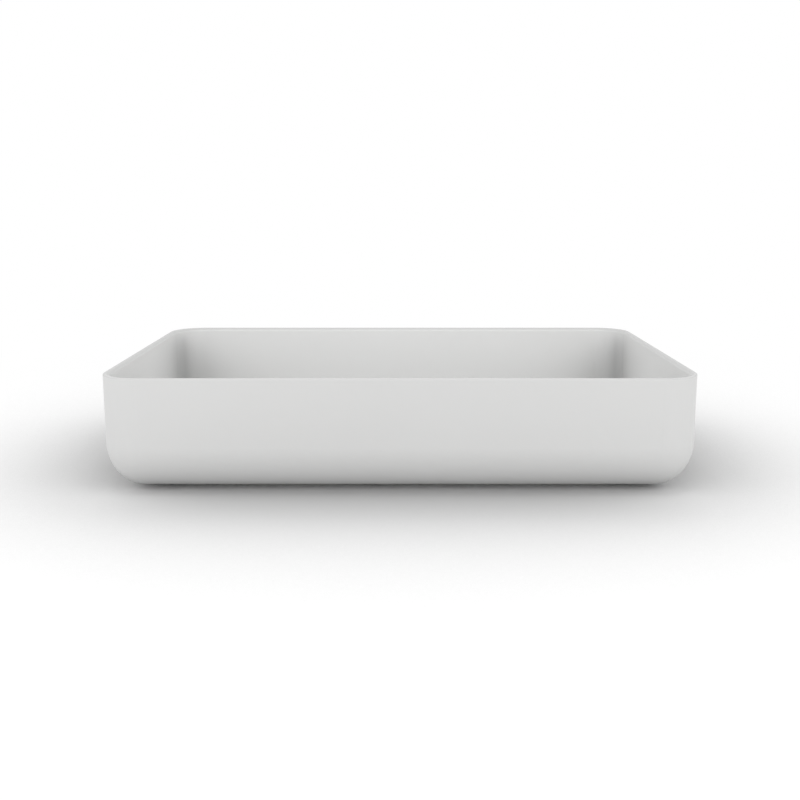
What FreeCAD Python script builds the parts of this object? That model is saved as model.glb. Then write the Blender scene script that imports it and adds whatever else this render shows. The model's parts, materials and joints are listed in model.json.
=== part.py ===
import FreeCAD, Part
import math
import os
import Sketcher
from FreeCAD import Vector

# Countertop basin with its press-to-close waste. Millimetres, +Z up, -Y towards the user.
# The origin is the middle of the foot on the counter. The plug is modelled raised (open).

doc = FreeCAD.newDocument("countertop_basin")
sheet = doc.addObject("Spreadsheet::Sheet", "dims")

# Driving sizes
sizes = {
    # Basin
    "basin_width": 600,  # outside, left to right
    "basin_depth": 400,  # outside, front to back
    "basin_height": 120,  # counter to rim
    "corner_radius": 40,  # upright outside corners
    "base_radius": 39,  # outside, wall to underside
    "rim_width": 6,  # wall at the rim
    "rim_radius": 1.5,  # outside edge of the rim
    "rim_inner_radius": 4,  # inside edge of the rim
    "floor_radius": 33,  # inside, wall to floor
    "bend_margin": 0.5,  # least difference between a bend and its corner
    "floor_fall": 4,  # fall of the floor to the drain
    "dish_inset": 3,  # flat left round the falling floor
    "dish_corner": 60,  # corner radius of the falling floor
    "foot_inset": 8,  # foot ring inside the end of the base radius
    "foot_width": 18,  # unglazed foot ring
    "foot_corner": 30,  # inside corners of the foot ring
    "foot_relief": 4,  # height of the foot ring
    "foot_radius": 1,  # edges of the foot ring
    "drain_land": 5.5,  # ceramic under the flange seat
    "drain_clearance": 1.5,  # radial, drain hole round the tail
    "recess_clearance": 2,  # radial, recess round the flange
    "recess_land": 5,  # level ring round the recess
    "recess_radius": 2,  # glazed edge of the recess
    "land_flat": 0.2,  # straight between the land's four arcs

    # Waste body, its seals and nut
    "flange_diameter": 64,  # waste flange
    "flange_edge": 2.5,  # flange thickness at its edge
    "flange_dish": 0.5,  # fall of the flange to its mouth
    "flange_sink": 0.5,  # flange edge below the bowl floor
    "mouth_wall": 0.2,  # radial, pilot to the top of the plug seat
    "mouth_depth": 8,  # height of the conical plug seat
    "thread_diameter": 41.91,  # G 1 1/4 outside diameter
    "tail_wall": 2.75,  # thread to waterway
    "tail_chamfer": 1,  # end of the thread and of the pilot
    "trap_thread": 36,  # thread left for the trap
    "pilot_length": 5,  # part that centres the waste in the drain hole
    "neck_relief": 0.65,  # radial, plain neck above the thread
    "neck_length": 3,  # plain neck above the thread
    "groove_width": 1.6,  # run-out groove between the two threads
    "groove_depth": 0.7,  # run-out groove
    "nut_margin": 1,  # thread left under the backnut
    "arm_count": 3,  # arms that hold the click unit
    "arm_width": 4,  # across an arm
    "arm_height": 6,  # depth of an arm
    "arm_root": 1,  # arm sunk into the hub and the tube
    "boss_wall": 3.4,  # threaded hub of the arms
    "boss_height": 8,  # threaded hub of the arms
    "flange_seal_thickness": 1.5,  # pressed
    "flange_seal_inset": 1,  # seal inside the flange edge
    "gasket_thickness": 6,  # under the basin
    "gasket_width": 8.7,  # under the basin
    "gasket_taper": 2,  # narrower at the washer by this radius
    "washer_thickness": 1.5,  # slip washer
    "washer_width": 6.2,  # slip washer
    "nut_wall": 4,  # backnut, thread to flats
    "nut_height": 9,  # backnut
    "corner_cut": 5,  # how far the turned corner of a nut reaches past its flats
    "thread_clearance": 0.1,  # radial, in every screwed joint
    "ring_clearance": 0.3,  # radial, rings slipped over the tail

    # Plug
    "plug_travel": 8,  # open to closed
    "cover_lap": 1,  # cover past the recess
    "cover_edge": 3.5,  # cover thickness at its edge
    "cover_crown": 5,  # rise of the dome
    "cover_rounding": 1.2,  # edges of the cover
    "cover_gap": 1,  # under the closed cover, over the floor
    "carrier_step": 1,  # bonded disc past its collar
    "carrier_thickness": 2.5,  # disc bonded into the cover
    "bond_clearance": 0.15,  # bond between cover and carrier
    "collar_step": 0.6,  # seal past the collar that backs it
    "collar_height": 2.2,  # backs the plug seal
    "seal_width": 3.2,  # plug seal at its foot
    "seal_height": 2.8,  # plug seal
    "seal_clearance": 0.3,  # closed seal to its seat
    "lip_grip": 1,  # lip that keeps the seal on
    "lip_height": 0.8,  # lip that keeps the seal on
    "socket_depth": 5.6,  # thread for the stem
    "socket_gap": 0.3,  # stem end to the bottom of its socket

    # Click unit
    "stop_gap": 0.7,  # closed plug over the click unit
    "stem_diameter": 8,  # sliding stem
    "stem_thread": 6,  # M6 top of the stem
    "stem_collar": 1.8,  # collar at the foot of the stem
    "spigot_length": 2,  # locates the spring
    "spigot_clearance": 0.6,  # radial, spring round the spigot
    "track_depth": 1.2,  # zigzag track in the stem
    "track_turn": 0.25,  # turns of one leg of the track
    "cut_overrun": 1,  # how far a cut runs past the surface it opens
    "pin_diameter": 1.4,  # index pins
    "pin_clearance": 0.15,  # index pin to the sides of the track
    "pin_floor_gap": 0.2,  # index pin to the floor of the track
    "slide_clearance": 0.25,  # radial, between moving pieces
    "ring_wall": 1.6,  # index ring
    "ring_height": 6.2,  # index ring
    "ring_play": 0.2,  # above and below the index ring
    "housing_wall": 1.8,  # round the index ring
    "housing_shoulder": 2,  # under the index ring
    "bore_step": 0.55,  # spring chamber past the stem's guide
    "housing_floor": 2,  # under the spring
    "vent_diameter": 2,  # lets water out of the housing
    "tube_wall": 1.7,  # threaded part of the housing
    "cap_insert": 8.4,  # part of the cap inside the housing
    "cap_flange": 2,  # housing cap
    "cap_slot": 1.6,  # driver slot in the cap
    "cap_slot_depth": 0.8,  # driver slot in the cap
    "lock_nut_wall": 2.9,  # thread to flats
    "lock_nut_height": 3,  # locks the housing
    "wire_diameter": 0.8,  # return spring
    "coil_clearance": 0.7,  # radial, spring in its chamber
    "coil_turns": 6.5,  # return spring
    "coil_margin": 0.6,  # left between the turns of the closed spring, in all
    "seat_clearance": 0.05,  # spring ends to their seats
}
for row, (name, amount) in enumerate(sizes.items(), 1):
    sheet.set(f"A{row}", name)
    sheet.set(f"B{row}", str(amount))
    sheet.setAlias(f"B{row}", name)
doc.recompute()

# Radii that follow from neighbouring pieces, as expressions of the sheet
flange_radius = "(dims.flange_diameter / 2)"
recess_radius = f"({flange_radius} + dims.recess_clearance)"
thread_radius = "(dims.thread_diameter / 2)"
bore_radius = f"({thread_radius} - dims.tail_wall)"
neck_radius = f"({thread_radius} - dims.neck_relief)"
drain_radius = f"({thread_radius} + dims.drain_clearance)"
pilot_radius = f"({drain_radius} - dims.ring_clearance)"
mouth_radius = f"({pilot_radius} - dims.mouth_wall)"
tail_ring_radius = f"({thread_radius} + dims.ring_clearance)"
cover_radius = f"({recess_radius} + dims.cover_lap)"
stem_radius = "(dims.stem_diameter / 2)"
guide_radius = f"({stem_radius} + dims.slide_clearance)"
ring_radius = f"({guide_radius} + dims.ring_wall)"
chamber_radius = f"({ring_radius} + dims.slide_clearance)"
housing_radius = f"({chamber_radius} + dims.housing_wall)"
spring_bore = f"({guide_radius} + dims.bore_step)"
tube_radius = f"({spring_bore} + dims.tube_wall)"
boss_bore = f"({tube_radius} + dims.thread_clearance)"
boss_radius = f"({boss_bore} + dims.boss_wall)"
wire_radius = "(dims.wire_diameter / 2)"
coil_radius = f"({spring_bore} - dims.coil_clearance - {wire_radius})"

# Heights above the counter
recess_depth = "(dims.flange_seal_thickness + dims.flange_edge + dims.flange_sink)"
flange_seat = "(dims.foot_relief + dims.drain_land)"
drain_floor = f"({flange_seat} + {recess_depth})"
bowl_floor = f"({drain_floor} + dims.floor_fall)"
flange_base = f"({flange_seat} + dims.flange_seal_thickness)"
gasket_base = "(dims.foot_relief - dims.gasket_thickness)"
washer_base = f"({gasket_base} - dims.washer_thickness)"
nut_base = f"({washer_base} - dims.nut_height)"
cover_closed = f"({drain_floor} + dims.cover_gap)"
cover_open = f"({cover_closed} + dims.plug_travel)"
plug_depth = "(dims.collar_height + dims.seal_height + dims.lip_height)"
stem_shoulder = f"({cover_open} - {plug_depth})"
cap_top = f"({cover_closed} - {plug_depth} - dims.stop_gap)"
housing_top = f"({cap_top} - dims.cap_flange)"
chamber_depth = "(dims.cap_insert + dims.ring_height + 2 * dims.ring_play)"
housing_body = f"({chamber_depth} + dims.housing_shoulder)"
lock_nut_base = f"({housing_top} - {housing_body} - dims.lock_nut_height)"
ring_base = f"({housing_top} - {chamber_depth} + dims.ring_play)"
pin_level = f"({ring_base} + dims.ring_height / 2)"
collar_top = f"({ring_base} - dims.slide_clearance)"
collar_low = f"({collar_top} - dims.stem_collar)"
coil_pressed = "((dims.coil_turns + 1) * dims.wire_diameter + dims.coil_margin)"
spring_seat = f"({collar_low} - dims.plug_travel - {coil_pressed})"


def value(expression):
    return float(sheet.evalExpression(expression))


def new_body(label, height="0"):
    body = doc.addObject("PartDesign::Body", label)
    body.Label = label
    body.setExpression("Placement.Base.z", height)
    return body


def origin_item(body, role):
    return next(item for item in body.Origin.OriginFeatures if item.Role == role)


def new_sketch(body, name, role="XY_Plane", offset="0"):
    sketch = body.newObject("Sketcher::SketchObject", name)
    sketch.AttachmentSupport = (origin_item(body, role), [""])
    sketch.MapMode = "FlatFace"
    sketch.setExpression("AttachmentOffset.Base.z", offset)
    return sketch


def constrain(sketch, *rule):
    return sketch.addConstraint(Sketcher.Constraint(*rule))


def drive(sketch, expression, *rule):
    index = constrain(sketch, *rule, value(expression))
    sketch.setExpression(f"Constraints[{index}]", expression)


def place_point(sketch, item, end, across, up):
    for axis, kind, expression in ((-2, "DistanceX", across), (-1, "DistanceY", up)):
        if expression == "0":
            constrain(sketch, "PointOnObject", item, end, axis)
        else:
            drive(sketch, expression, kind, -1, 1, item, end)


def outline(sketch, points, dome=None):
    # Closed outline through points given as expressions, counter-clockwise. The segment
    # numbered by dome is an arc centred on the upright axis and ending on it.
    places = [Vector(value(across), value(up), 0) for across, up in points]
    segments = []
    for index, start in enumerate(places):
        end = places[(index + 1) % len(places)]
        shape = Part.LineSegment(start, end)
        if index == dome:
            centre = (end.y ** 2 - start.y ** 2 - start.x ** 2) / (2 * (end.y - start.y))
            circle = Part.Circle(Vector(0, centre, 0), Vector(0, 0, 1), end.y - centre)
            shape = Part.ArcOfCircle(circle, math.atan2(start.y - centre, start.x), math.pi / 2)
        segments.append(sketch.addGeometry(shape))
    for index, (across, up) in enumerate(points):
        constrain(sketch, "Coincident", segments[index - 1], 2, segments[index], 1)
        if index != dome:
            place_point(sketch, segments[index], 1, across, up)
        else:
            place_point(sketch, segments[index - 1], 2, across, up)
    if dome is not None:
        constrain(sketch, "PointOnObject", segments[dome], 3, -2)


def circle(sketch, radius):
    item = sketch.addGeometry(Part.Circle(Vector(0, 0, 0), Vector(0, 0, 1), value(radius)))
    constrain(sketch, "Coincident", item, 3, -1, 1)
    drive(sketch, radius, "Radius", item)
    return item


def rounded_rectangle(sketch, width, depth, radius):
    half_x, half_y, bend = value(width) / 2, value(depth) / 2, value(radius)
    sides, bends = [], []
    for turn, (along, out) in enumerate(((half_x, half_y), (half_y, half_x)) * 2):
        angle = turn * math.pi / 2
        spin = FreeCAD.Rotation(Vector(0, 0, 1), math.degrees(angle))
        start = spin.multVec(Vector(bend - along, -out, 0))
        end = spin.multVec(Vector(along - bend, -out, 0))
        hub = spin.multVec(Vector(along - bend, bend - out, 0))
        sides.append(sketch.addGeometry(Part.LineSegment(start, end)))
        arc = Part.Circle(hub, Vector(0, 0, 1), bend)
        bends.append(sketch.addGeometry(Part.ArcOfCircle(arc, angle - math.pi / 2, angle)))
    for turn in range(4):
        constrain(sketch, "Tangent", sides[turn], 2, bends[turn], 1)
        constrain(sketch, "Tangent", bends[turn], 2, sides[(turn + 1) % 4], 1)
        if turn:
            constrain(sketch, "Equal", bends[0], bends[turn])
    constrain(sketch, "Symmetric", sides[0], 1, sides[0], 2, -2)
    constrain(sketch, "Symmetric", sides[1], 1, sides[1], 2, -1)
    constrain(sketch, "Horizontal", sides[2])
    constrain(sketch, "Vertical", sides[3])
    drive(sketch, radius, "Radius", bends[0])
    drive(sketch, width, "DistanceX", sides[3], 1, sides[1], 1)
    drive(sketch, depth, "DistanceY", sides[0], 1, sides[2], 1)


def hexagon(sketch, flats):
    corner = f"({flats} / sqrt(3))"
    reach = value(corner)
    places = [Vector(reach * math.cos(k * math.pi / 3), reach * math.sin(k * math.pi / 3), 0)
              for k in range(6)]
    guide = circle(sketch, corner)
    sketch.setConstruction(guide, True)
    sides = [sketch.addGeometry(Part.LineSegment(places[k], places[(k + 1) % 6])) for k in range(6)]
    for k in range(6):
        constrain(sketch, "Coincident", sides[k - 1], 2, sides[k], 1)
        constrain(sketch, "PointOnObject", sides[k], 1, guide)
        if k:
            constrain(sketch, "Equal", sides[0], sides[k])
    constrain(sketch, "PointOnObject", sides[0], 1, -1)


def turned(body, name, points, kind="PartDesign::Revolution", dome=None):
    sketch = new_sketch(body, f"{name}_profile", "XZ_Plane")
    outline(sketch, points, dome)
    feature = body.newObject(kind, name)
    feature.Profile = sketch
    feature.ReferenceAxis = (sketch, ["V_Axis"])
    feature.Angle = 360
    doc.recompute()
    return feature


def extruded(body, name, sketch, length, kind="PartDesign::Pad", reverse=False):
    feature = body.newObject(kind, name)
    feature.Profile = sketch
    feature.Reversed = reverse
    feature.setExpression("Length", length)
    doc.recompute()
    return feature


def polar(body, name, originals, count):
    feature = body.newObject("PartDesign::PolarPattern", name)
    feature.Originals = originals
    feature.Axis = (origin_item(body, "Z_Axis"), [""])
    feature.Angle = 360
    feature.setExpression("Occurrences", count)
    body.Tip = feature
    doc.recompute()
    return feature


def rounded(body, name, base, radius, wanted):
    feature = body.newObject("PartDesign::Fillet", name)
    edges = enumerate(base.Shape.Edges, 1)
    feature.Base = (base, [f"Edge{number}" for number, edge in edges if wanted(edge)])
    feature.setExpression("Radius", radius)
    doc.recompute()
    return feature


def level(expression, margin=0.01):
    # True for edges that lie flat at the given height
    height = value(expression)
    return lambda edge: max(abs(edge.BoundBox.ZMin - height), abs(edge.BoundBox.ZMax - height)) < margin


def within(width, depth, margin=0.01):
    # True for edges inside an upright rectangle about the axis
    reach_x, reach_y = value(width) / 2 + margin, value(depth) / 2 + margin
    return lambda edge: (max(-edge.BoundBox.XMin, edge.BoundBox.XMax) < reach_x
                         and max(-edge.BoundBox.YMin, edge.BoundBox.YMax) < reach_y)


def flat_ring(label, height, inner, outer, thickness):
    body = new_body(label, height)
    sketch = new_sketch(body, f"{label}_outline")
    circle(sketch, inner)
    circle(sketch, outer)
    extruded(body, f"{label}_ring", sketch, thickness)
    return body


def hex_nut(label, height, flats, thickness, bore):
    # Hexagon with both ends turned down to a 30 degree corner
    body = new_body(label, height)
    sketch = new_sketch(body, f"{label}_outline")
    hexagon(sketch, flats)
    circle(sketch, bore)
    extruded(body, f"{label}_hexagon", sketch, thickness)
    flat = f"({flats} / 2)"
    reach = f"({flat} + dims.corner_cut)"
    drop = f"(({reach} - {flat}) * tan(30 deg))"
    turned(body, f"{label}_top_corner", [(flat, thickness), (reach, f"{thickness} - {drop}"),
                                         (reach, thickness)], "PartDesign::Groove")
    turned(body, f"{label}_low_corner", [(flat, "0"), (reach, "0"), (reach, drop)],
           "PartDesign::Groove")
    return body


# Basin: one ceramic casting, drawn as a block with a hollow, a falling floor and a foot ring
basin = new_body("basin_bowl")
sketch = new_sketch(basin, "basin_outline", offset="dims.foot_relief")
rounded_rectangle(sketch, "dims.basin_width", "dims.basin_depth", "dims.corner_radius")
extruded(basin, "basin_block", sketch, "dims.basin_height - dims.foot_relief")
inner_width = "(dims.basin_width - 2 * dims.rim_width)"
inner_depth = "(dims.basin_depth - 2 * dims.rim_width)"
inner_corner = "(dims.corner_radius - dims.rim_width)"
sketch = new_sketch(basin, "bowl_outline", offset="dims.basin_height")
rounded_rectangle(sketch, inner_width, inner_depth, inner_corner)
bowl = extruded(basin, "bowl", sketch, f"dims.basin_height - {bowl_floor}", "PartDesign::Pocket")
floor_bend = f"min(dims.floor_radius; {inner_corner} - dims.bend_margin)"
bowl = rounded(basin, "bowl_floor_edge", bowl, floor_bend, level(bowl_floor))
base_bend = "min(dims.base_radius; dims.corner_radius - dims.bend_margin)"
rounded(basin, "basin_base", bowl, base_bend, level("dims.foot_relief"))

# The floor falls from a rounded rectangle to a circle round the drain
dish_margin = f"(2 * ({floor_bend} + dims.dish_inset))"
upper = new_sketch(basin, "floor_high", offset=bowl_floor)
rounded_rectangle(upper, f"{inner_width} - {dish_margin}", f"{inner_depth} - {dish_margin}",
                  "dims.dish_corner")
lower = new_sketch(basin, "floor_low", offset=drain_floor)
land_radius = f"({recess_radius} + dims.recess_land)"
land_width = f"(2 * {land_radius} + dims.land_flat)"
rounded_rectangle(lower, land_width, land_width, land_radius)
dish = basin.newObject("PartDesign::SubtractiveLoft", "falling_floor")
dish.Profile = upper
dish.Sections = [(lower, [""])]
dish.Ruled = True
doc.recompute()

sketch = new_sketch(basin, "recess_outline", offset=bowl_floor)
circle(sketch, recess_radius)
extruded(basin, "drain_recess", sketch, f"dims.floor_fall + {recess_depth}", "PartDesign::Pocket")
sketch = new_sketch(basin, "drain_outline", offset=bowl_floor)
circle(sketch, drain_radius)
extruded(basin, "drain_hole", sketch, bowl_floor, "PartDesign::Pocket")
sketch = new_sketch(basin, "foot_outline")
for edge, corner in ((base_bend, "dims.foot_corner + dims.foot_width"),
                     (f"{base_bend} + dims.foot_width", "dims.foot_corner")):
    margin = f"(2 * ({edge} + dims.foot_inset))"
    rounded_rectangle(sketch, f"dims.basin_width - {margin}", f"dims.basin_depth - {margin}", corner)
foot = extruded(basin, "foot_ring", sketch, "dims.foot_relief")
foot = rounded(basin, "foot_edges", foot, "dims.foot_radius", level("0"))
at_rim, in_bowl = level("dims.basin_height"), within(inner_width, inner_depth)
rim = rounded(basin, "rim_outside", foot, "dims.rim_radius", lambda edge: at_rim(edge) and not in_bowl(edge))
rim = rounded(basin, "rim_inside", rim, "dims.rim_inner_radius", lambda edge: at_rim(edge) and in_bowl(edge))
recess_rim = value(f"2 * {recess_radius}")
rounded(basin, "recess_edge", rim, "dims.recess_radius",
        lambda edge: level(drain_floor)(edge) and abs(edge.BoundBox.XLength - recess_rim) < 0.1)

# Waste body: turned brass with a flange, a conical plug seat, two threads and three arms
waste = new_body("waste_body", flange_base)
groove_top = f"({nut_base} - dims.nut_margin - {flange_base})"
groove_base = f"({groove_top} - dims.groove_width)"
groove_radius = f"({thread_radius} - dims.groove_depth)"
thread_end = f"({groove_base} - dims.trap_thread)"
tail_end = f"({thread_end} - dims.tail_chamfer)"
neck_top = "(-dims.pilot_length - dims.tail_chamfer)"
neck_base = f"({neck_top} - dims.neck_length)"
mouth_top = "(dims.flange_edge - dims.flange_dish)"
mouth_base = f"({mouth_top} - dims.mouth_depth)"
turned(waste, "waste_tube", [
    (bore_radius, tail_end),
    (f"{thread_radius} - dims.tail_chamfer", tail_end),
    (thread_radius, thread_end),
    (thread_radius, groove_base),
    (groove_radius, groove_base),
    (groove_radius, groove_top),
    (thread_radius, groove_top),
    (thread_radius, neck_base),
    (neck_radius, neck_base),
    (neck_radius, neck_top),
    (pilot_radius, "-dims.pilot_length"),
    (pilot_radius, "0"),
    (flange_radius, "0"),
    (flange_radius, "dims.flange_edge"),
    (mouth_radius, mouth_top),
    (bore_radius, mouth_base),
])
boss_top = f"({lock_nut_base} - {flange_base})"
turned(waste, "waste_boss", [
    (boss_bore, f"{boss_top} - dims.boss_height"),
    (boss_radius, f"{boss_top} - dims.boss_height"),
    (boss_radius, boss_top),
    (boss_bore, boss_top),
])
arm_base = f"({boss_top} - (dims.boss_height + dims.arm_height) / 2)"
sketch = new_sketch(waste, "arm_outline", offset=arm_base)
arm_start = f"({boss_radius} - dims.arm_root)"
arm_end = f"({bore_radius} + dims.arm_root)"
outline(sketch, [
    (arm_start, "-dims.arm_width / 2"), (arm_end, "-dims.arm_width / 2"),
    (arm_end, "dims.arm_width / 2"), (arm_start, "dims.arm_width / 2"),
])
arm = extruded(waste, "arm", sketch, "dims.arm_height")
polar(waste, "arms", [arm], "dims.arm_count")

# Seals, washer and nuts that clamp the waste to the basin
flat_ring("flange_seal", flange_seat, f"{pilot_radius} + dims.ring_clearance",
          f"{flange_radius} - dims.flange_seal_inset", "dims.flange_seal_thickness")
gasket = new_body("under_gasket", gasket_base)
gasket_radius = f"({tail_ring_radius} + dims.gasket_width)"
turned(gasket, "gasket_ring", [
    (tail_ring_radius, "0"),
    (f"{gasket_radius} - dims.gasket_taper", "0"),
    (gasket_radius, "dims.gasket_thickness"),
    (tail_ring_radius, "dims.gasket_thickness"),
])
flat_ring("slip_washer", washer_base, tail_ring_radius, f"{tail_ring_radius} + dims.washer_width",
          "dims.washer_thickness")
hex_nut("backnut", nut_base, f"(2 * ({thread_radius} + dims.nut_wall))", "dims.nut_height",
        f"{thread_radius} + dims.thread_clearance")
hex_nut("lock_nut", lock_nut_base, f"(2 * ({boss_bore} + dims.lock_nut_wall))",
        "dims.lock_nut_height", boss_bore)

# Plug: domed ceramic cover, bonded carrier and a seal that meets the conical seat. The seal's
# outside runs parallel to the seat, one clearance away from it when the plug is closed.
seat_slope = f"(({mouth_radius} - {bore_radius}) / dims.mouth_depth)"
seal_level = f"({cover_closed} - dims.collar_height - dims.seal_height)"
seat_at_seal = f"({bore_radius} + ({seal_level} - {flange_base} - {mouth_base}) * {seat_slope})"
seal_foot = f"({seat_at_seal} - dims.seal_clearance * sqrt(1 + {seat_slope} ^ 2))"
seal_brim = f"({seal_foot} + dims.seal_height * {seat_slope})"
hub_radius = f"({seal_foot} - dims.seal_width)"
lip_radius = f"({hub_radius} + dims.lip_grip)"
collar_radius = f"({seal_brim} - dims.collar_step)"
carrier_radius = f"({collar_radius} + dims.carrier_step)"

cover = new_body("plug_cover", cover_open)
bond_top = "(dims.carrier_thickness + dims.bond_clearance)"
bond_side = f"({carrier_radius} + dims.bond_clearance)"
dome = turned(cover, "cover_dome", [
    (bond_side, "0"),
    (cover_radius, "0"),
    (cover_radius, "dims.cover_edge"),
    ("0", "dims.cover_edge + dims.cover_crown"),
    ("0", bond_top),
    (bond_side, bond_top),
], dome=2)
cover_reach = value(f"2 * {cover_radius}")
rounded(cover, "cover_edges", dome, "dims.cover_rounding",
        lambda edge: abs(edge.BoundBox.XLength - cover_reach) < 0.1 and edge.BoundBox.ZLength < 0.1)

carrier = new_body("cover_carrier", cover_open)
collar_base = "(-dims.collar_height)"
groove_low = f"({collar_base} - dims.seal_height)"
hub_base = f"({groove_low} - dims.lip_height)"
socket_radius = "(dims.stem_thread / 2 + dims.thread_clearance)"
socket_top = f"({hub_base} + dims.socket_depth)"
turned(carrier, "carrier_disc", [
    (socket_radius, hub_base),
    (lip_radius, hub_base),
    (lip_radius, groove_low),
    (hub_radius, groove_low),
    (hub_radius, collar_base),
    (collar_radius, collar_base),
    (collar_radius, "0"),
    (carrier_radius, "0"),
    (carrier_radius, "dims.carrier_thickness"),
    ("0", "dims.carrier_thickness"),
    ("0", socket_top),
    (socket_radius, socket_top),
])

seal = new_body("plug_seal", f"{cover_open} - dims.collar_height - dims.seal_height")
turned(seal, "seal_ring", [
    (hub_radius, "0"),
    (seal_foot, "0"),
    (seal_brim, "dims.seal_height"),
    (hub_radius, "dims.seal_height"),
])

# Click unit: the stem's zigzag track turns the index ring a quarter turn on every stroke
stem = new_body("click_stem", stem_shoulder)
foot_top = f"({collar_top} - {stem_shoulder})"
foot_low = f"({collar_low} - {stem_shoulder})"
foot_radius = f"({spring_bore} - dims.slide_clearance)"
spigot_low = f"({foot_low} - dims.spigot_length)"
spigot_radius = f"({coil_radius} - {wire_radius} - dims.spigot_clearance)"
stem_end = "(dims.socket_depth - dims.socket_gap)"
turned(stem, "stem_rod", [
    ("0", spigot_low),
    (spigot_radius, spigot_low),
    (spigot_radius, foot_low),
    (foot_radius, foot_low),
    (foot_radius, foot_top),
    (stem_radius, foot_top),
    (stem_radius, "0"),
    ("dims.stem_thread / 2", "0"),
    ("dims.stem_thread / 2", stem_end),
    ("0", stem_end),
])
# The track is as tall as a pin needs in a leg that climbs the travel in a quarter turn
track_floor = f"({stem_radius} - dims.track_depth)"
track_open = f"({stem_radius} + dims.cut_overrun)"
leg_slope = f"(dims.plug_travel / (2 * pi * dims.track_turn * {track_floor}))"
track_height = f"((dims.pin_diameter + 2 * dims.pin_clearance) * sqrt(1 + {leg_slope} ^ 2))"
track_base = f"({pin_level} - {stem_shoulder} - {track_height} / 2)"
legs = []
for name, left_handed in (("track_right", False), ("track_left", True)):
    sketch = new_sketch(stem, f"{name}_profile", "XZ_Plane")
    outline(sketch, [
        (track_floor, track_base),
        (track_open, track_base),
        (track_open, f"{track_base} + {track_height}"),
        (track_floor, f"{track_base} + {track_height}"),
    ])
    leg = stem.newObject("PartDesign::SubtractiveHelix", name)
    leg.Profile = sketch
    leg.ReferenceAxis = (sketch, ["V_Axis"])
    leg.Mode = "height-turns-angle"
    leg.setExpression("Height", "dims.plug_travel")
    leg.setExpression("Turns", "dims.track_turn")
    leg.Angle = 0
    leg.LeftHanded = left_handed
    doc.recompute()
    legs.append(leg)
polar(stem, "track", legs, "2")

index_ring = new_body("index_ring", ring_base)
sketch = new_sketch(index_ring, "index_outline")
circle(sketch, guide_radius)
circle(sketch, ring_radius)
extruded(index_ring, "index_wall", sketch, "dims.ring_height")
pin_start = f"({track_floor} + dims.pin_floor_gap)"
sketch = new_sketch(index_ring, "pin_outline", "YZ_Plane", pin_start)
pin = sketch.addGeometry(Part.Circle(Vector(0, value("dims.ring_height / 2"), 0), Vector(0, 0, 1),
                                     value("dims.pin_diameter / 2")))
drive(sketch, "dims.pin_diameter / 2", "Radius", pin)
place_point(sketch, pin, 3, "0", "dims.ring_height / 2")
pin = extruded(index_ring, "index_pin", sketch, f"{guide_radius} + dims.ring_wall / 2 - {pin_start}")
polar(index_ring, "index_pins", [pin], "2")

housing = new_body("click_housing", housing_top)
body_base = f"(-{housing_body})"
seat_level = f"({spring_seat} - {housing_top})"
tube_base = f"({seat_level} - dims.housing_floor)"
turned(housing, "housing_tube", [
    ("dims.vent_diameter / 2", tube_base),
    (tube_radius, tube_base),
    (tube_radius, body_base),
    (housing_radius, body_base),
    (housing_radius, "0"),
    (chamber_radius, "0"),
    (chamber_radius, f"-{chamber_depth}"),
    (spring_bore, f"-{chamber_depth}"),
    (spring_bore, seat_level),
    ("dims.vent_diameter / 2", seat_level),
])

cap = new_body("housing_cap", housing_top)
insert_base = "(-dims.cap_insert)"
insert_radius = f"({chamber_radius} - dims.thread_clearance)"
turned(cap, "cap_sleeve", [
    (guide_radius, insert_base),
    (insert_radius, insert_base),
    (insert_radius, "0"),
    (housing_radius, "0"),
    (housing_radius, "dims.cap_flange"),
    (guide_radius, "dims.cap_flange"),
])
sketch = new_sketch(cap, "cap_slot_outline", offset="dims.cap_flange")
slot_reach = f"({housing_radius} + dims.cut_overrun)"
outline(sketch, [
    (f"-{slot_reach}", "-dims.cap_slot / 2"), (slot_reach, "-dims.cap_slot / 2"),
    (slot_reach, "dims.cap_slot / 2"), (f"-{slot_reach}", "dims.cap_slot / 2"),
])
extruded(cap, "driver_slot", sketch, "dims.cap_slot_depth", "PartDesign::Pocket")

spring = new_body("return_spring", spring_seat)
coil_start = f"({wire_radius} + dims.seat_clearance)"
coil_height = f"({collar_low} - {spring_seat} - 2 * {coil_start})"
sketch = new_sketch(spring, "wire_outline", "XZ_Plane")
wire = sketch.addGeometry(Part.Circle(Vector(value(coil_radius), value(coil_start), 0), Vector(0, 0, 1),
                                      value(wire_radius)))
drive(sketch, wire_radius, "Radius", wire)
place_point(sketch, wire, 3, coil_radius, coil_start)
coil = spring.newObject("PartDesign::AdditiveHelix", "coil")
coil.Profile = sketch
coil.ReferenceAxis = (sketch, ["V_Axis"])
coil.Mode = "height-turns-angle"
coil.setExpression("Height", coil_height)
coil.setExpression("Turns", "dims.coil_turns")
coil.Angle = 0
doc.recompute()
print("spring gap between turns", round(value(f"{coil_height} / dims.coil_turns - dims.wire_diameter"), 2))

faulty = [item.Label for item in doc.Objects if "Invalid" in item.State or "Error" in item.State]
if faulty:
    raise SystemExit(f"features that failed: {faulty}")
os.makedirs("parts", exist_ok=True)
for body in doc.findObjects("PartDesign::Body"):
    if body.Shape.isNull() or not body.Shape.isValid() or len(body.Shape.Solids) != 1:
        raise SystemExit(f"{body.Label} is not one valid solid")
    body.Shape.exportStep(f"parts/{body.Label}.step")
    box = body.Shape.BoundBox
    print(f"{body.Label:15s} z {box.ZMin:8.2f} {box.ZMax:8.2f}  x {box.XLength:7.2f}  "
          f"volume {body.Shape.Volume:12.1f}")
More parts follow.
